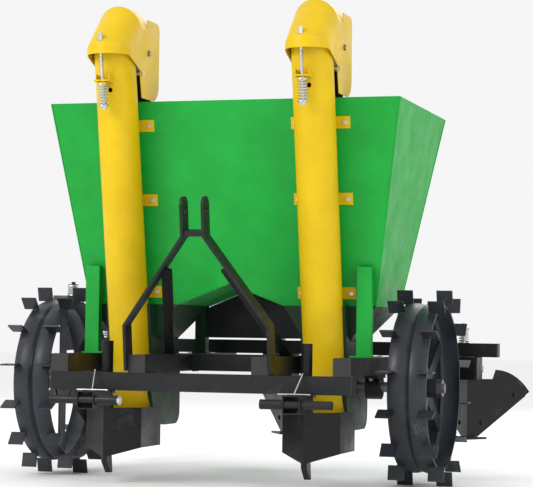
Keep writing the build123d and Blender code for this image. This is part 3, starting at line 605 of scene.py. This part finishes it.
# %% Where the mast and the brackets are welded
def mast_y(z):
    return 15 - (z - 385) * math.tan(math.radians(8))


runs = []
for way in (-1, 1):
    for side in (-30, 30):
        runs.append((at(way * 247, mast_y(388) + side, 388),
                     at(way * 247, mast_y(434) + side, 434)))
    seam_y = mast_y(beam_top)
    runs.append((at(way * 246, seam_y - 28, beam_top), at(way * 246, seam_y + 28, beam_top)))
    for z in (828, 848):
        runs.append((at(way * 32, mast_y(z) - 24, z), at(way * 32, mast_y(z) + 24, z)))
for x in bodies_at.values():
    for way in (-1, 1):
        runs.append((at(x + way * 57, 930, beam_top), at(x + way * 57, 980, beam_top)))
        runs.append((at(x + way * 50, 908, 356), at(x + way * 50, 908, 431)))
runs.append((at(-868, 936, 436), at(-868, 974, 436)))
beads("mast_welds", chassis_enamel, "frame", runs, 0.0027)

# %% Where the hopper's posts are welded
runs = []
post_y = hopper_front(740)
for way in (-1, 1):
    for x in (466, 516):
        runs.append((at(way * x, post_y - 28, 440), at(way * x, post_y - 2, 440)))
    runs.append((at(way * 466, post_y - 30, 440), at(way * 516, post_y - 30, 440)))
beads("post_welds", green_coat, "frame", runs, 0.0025)
runs = []
for way in (-1, 1):
    for x in (195, 235):
        runs.append((at(way * x, 647, 440), at(way * x, 683, 440)))
    for edge in (-80, 80):
        x = way * row_x + edge
        runs.append((at(x, 336, 490), at(x, 556, 490)))
# these welds take the darkened green too, which is painted shade
beads("feed_welds", shaded_green_coat, "frame", runs, 0.0025)

# %% [markdown]
# The hopper's folded front is stitched to its roof-shaped floor with short plug welds, which show
# as a dotted line of specks along the two slopes of the ridge. Its corners are seam welded.

# %% Hopper seams
ridge_height, ridge_half = 73, 192
speck_count = 10
specks = []
for way in (-1, 1):
    for step in range(speck_count):
        share = (step + 0.5) / speck_count
        z = hopper_low + ridge_height * share
        place = at(way * ridge_half * (1 - share), hopper_front(z) - 0.5, z + 5)
        specks.append((place, place + Vector((-way * 0.004, 0, 0.0015))))
beads("ridge_welds", green_coat, "frame", specks, 0.0028)
corners = []
for way in (-1, 1):
    for y_low, y_high in ((hopper_front_low, hopper_front_high), (hopper_rear_low, hopper_rear_high)):
        corners.append((at(way * hopper_half_low, y_low, hopper_low + 4),
                        at(way * hopper_half_high, y_high, hopper_high - 3)))
beads("corner_seams", green_coat, "frame", corners, 0.0022)

# %% [markdown]
# ## Wheel welds
# The spokes are welded to the rim on both faces, and every lug has a fillet along its foot.
# Fillets are placed round the axle by turning one place through each spoke's and lug's angle.


# %% Wheel welds
axle_y, axle_z = 439, 333
wheel_x = 667
spoke_count = 6
lugs_in_a_row = 14
hub_steps = 20


def round_axle(x, radius, angle, along=0.0):
    y = -radius * math.sin(angle) + along * math.cos(angle)
    z = radius * math.cos(angle) + along * math.sin(angle)
    return at(x, axle_y + y, axle_z + z)


for side, way in (("left", -1), ("right", 1)):
    centre = way * wheel_x
    runs = []
    for k in range(spoke_count):
        angle = math.radians(360 / spoke_count * k)
        for face in (-4.5, 4.5):
            x = centre + face
            for radius in (271, 74):
                runs.append((round_axle(x, radius, angle, -23), round_axle(x, radius, angle, 23)))
    for k in range(hub_steps):
        angle = math.radians(360 / hub_steps * k)
        for face in (-6, 6):
            x = centre + face
            runs.append((round_axle(x, 33, angle), round_axle(x, 33, angle + 0.31)))
    beads(f"spoke_welds_{side}", wheel_enamel, "running_gear", runs, 0.0028)
    runs = []
    for row in (-1, 1):
        for k in range(lugs_in_a_row):
            angle = math.radians(2 + 360 / lugs_in_a_row * k)
            inner, outer = centre + row * 43, centre + row * 64
            for foot in (-7, 4):
                runs.append((round_axle(inner, 288, angle, foot),
                             round_axle(outer, 281, angle, foot)))
    beads(f"lug_welds_{side}", wheel_enamel, "running_gear", runs, 0.0032)

# %% [markdown]
# ## Plough bolts
# Each mouldboard is held by plough bolts, whose low domed heads let the soil slide past. A short
# cylinder with a generous bevel on its outer edge gives the dome, and a hexagon behind the plate
# is its nut. Two bolts hold each board and are painted with it. The boards sweep back at 35
# degrees, so each bolt is turned to lie square on them.


# %% One plough bolt
head_r, head_height, nut_height = 0.0085, 0.005, 0.007
nut_start = 0.0082    # from the board's outer face back to the nut


def plough_bolt(place, outward):
    bpy.ops.mesh.primitive_cylinder_add(vertices=20, radius=head_r, depth=head_height,
                                        location=(0, 0, head_height / 2))
    head = bpy.context.object
    bpy.ops.object.mode_set(mode="EDIT")
    bpy.ops.mesh.select_all(action="DESELECT")
    bpy.ops.object.mode_set(mode="OBJECT")
    for edge in head.data.edges:
        edge.select = all(head.data.vertices[i].co.z > 0.002 for i in edge.vertices)
    bpy.ops.object.mode_set(mode="EDIT")
    bpy.ops.mesh.select_mode(type="EDGE")
    bpy.ops.mesh.bevel(offset=0.0035, segments=4, affect="EDGES")
    bpy.ops.object.mode_set(mode="OBJECT")
    bpy.ops.mesh.primitive_cylinder_add(vertices=6, radius=head_r, depth=nut_height,
                                        location=(0, 0, -nut_start - nut_height / 2))
    nut = bpy.context.object
    select_only(head, nut)
    bpy.ops.object.join()
    bpy.ops.object.transform_apply(location=True, rotation=True, scale=True)
    bolt = bpy.context.view_layer.objects.active
    bolt.rotation_mode = "QUATERNION"
    bolt.rotation_quaternion = Vector((0, 0, 1)).rotation_difference(outward)
    bolt.location = place
    return bolt


sweep = math.radians(35)
wing_nose_y = 1024
bolts_on_board = ((247, 292), (74, 189))    # along the board from its nose, and height
for side, x in bodies_at.items():
    made = []
    for way in (-1, 1):
        outward = Vector((way * math.cos(sweep), -math.sin(sweep), 0))
        for along, z in bolts_on_board:
            place = at(x + way * along * math.sin(sweep), wing_nose_y + along * math.cos(sweep), z)
            made.append(plough_bolt(place, outward))
    bolts = finish_piece(made, f"plough_bolts_{side}", tillage_enamel, f"ridger_{side}")
    print(bolts.name, len(bolts.data.polygons), "faces")

# %% [markdown]
# ## Floor
# A pale sweep under the wheels. It only carries the light, so it is one large sheet with a faint
# cloudiness.

# %% Floor
floor_paint, tree, shader = start_material("matt studio sweep", Roughness=0.85)
place = add_node(tree, "ShaderNodeTexCoord").outputs["Object"]
cloud = add_node(tree, "ShaderNodeTexNoise", {"Vector": place}, {"Scale": 0.7, "Detail": 2.0})
colour = add_node(tree, "ShaderNodeMix", {"Factor": cloud.outputs["Fac"]}, data_type="RGBA")
colour.inputs[6].default_value = linear("#fbfbfb")
colour.inputs[7].default_value = linear("#f6f6f5")
tree.links.new(colour.outputs[2], shader.inputs["Base Color"])
nothing_selected()
bpy.ops.mesh.primitive_plane_add(size=60, location=(0, 0, solid_box[0][2] - 0.0005))
floor = bpy.context.object
bpy.ops.object.transform_apply(location=True, rotation=True, scale=True)
floor.name = "floor"
floor.data.materials.append(floor_paint)
print("floor at", round(solid_box[0][2], 5))
